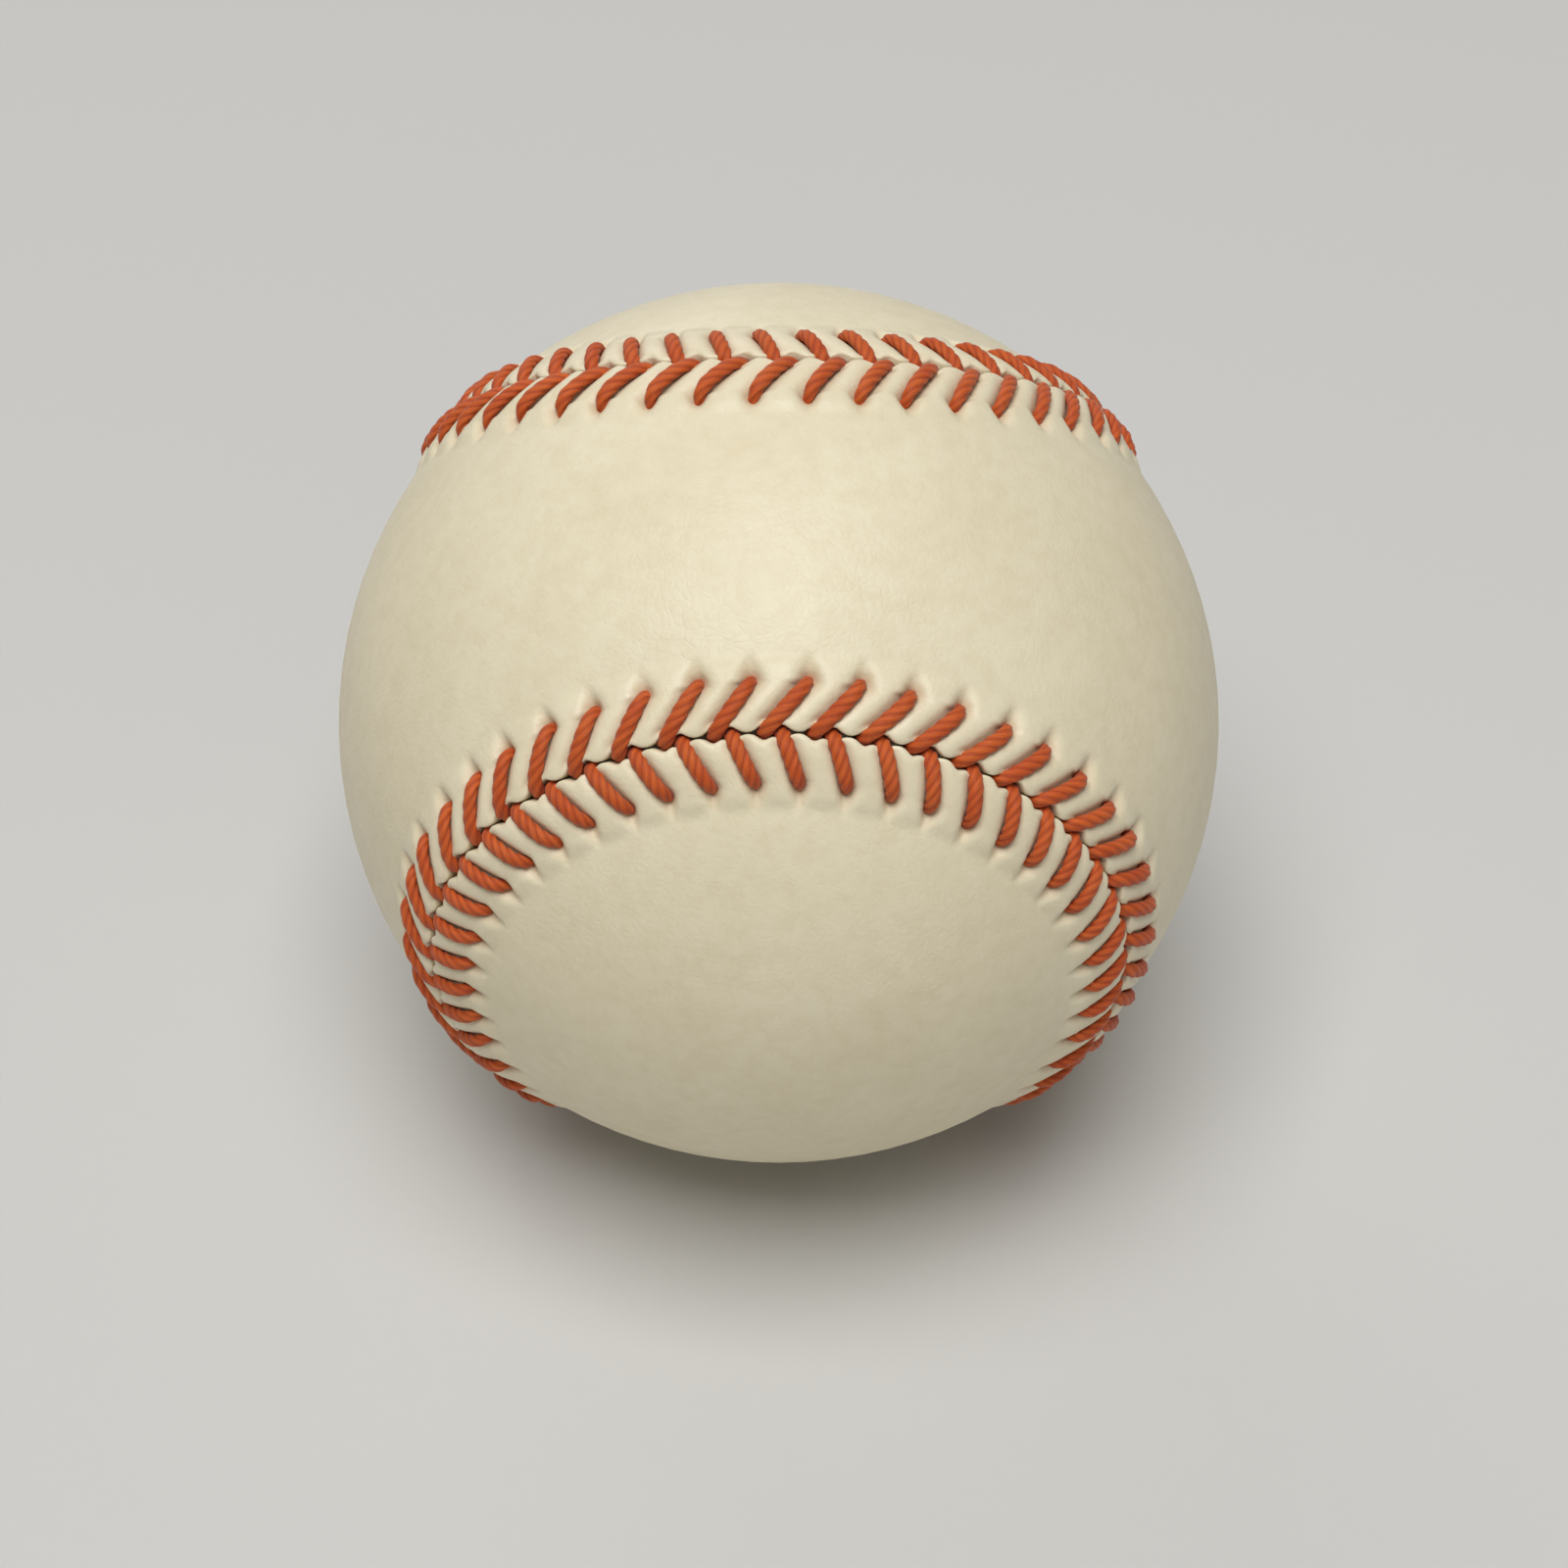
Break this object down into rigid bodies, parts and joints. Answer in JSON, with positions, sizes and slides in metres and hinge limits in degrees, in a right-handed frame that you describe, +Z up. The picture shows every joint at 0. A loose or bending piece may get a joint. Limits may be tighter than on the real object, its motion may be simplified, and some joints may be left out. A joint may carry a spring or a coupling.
{
  "type": "baseball",
  "caption": "Baseball in its real layers: cork and rubber core, wound wool and cotton, two figure-of-eight leather covers sewn with red double stitches.",
  "frame": {"origin": "centre of the ball", "axes": "+Z up as the ball lies on a table; the upper cover's waist leans 24 degrees from +Z towards -Y, the front, and its lobes reach round +X and -X"},
  "size_m": [0.0734, 0.0734, 0.0747],
  "materials": {
    "cork": "moulded cork and rubber granules, matt",
    "black_rubber": "moulded, satin",
    "red_rubber": "moulded, satin",
    "grey_wool": "wound wool yarn",
    "white_wool": "wound wool yarn",
    "cotton": "fine wound cotton and polyester yarn",
    "cement": "dried latex cement",
    "leather": "smooth alum-tanned ivory leather, soft sheen",
    "red_thread": "waxed twisted thread"
  },
  "bodies": {
    "root": {"cork_core": "cork", "rubber_shell_left": "black_rubber", "rubber_shell_right": "black_rubber", "shell_gasket": "red_rubber", "red_rubber_layer": "red_rubber", "grey_wool_winding": "grey_wool", "white_wool_winding": "white_wool", "grey_wool_overwinding": "grey_wool", "cotton_finish_winding": "cotton", "cement_film": "cement", "upper_cover": "leather", "lower_cover": "leather", "red_thread_first": "red_thread", "red_thread_second": "red_thread"}
  },
  "joints": []
}
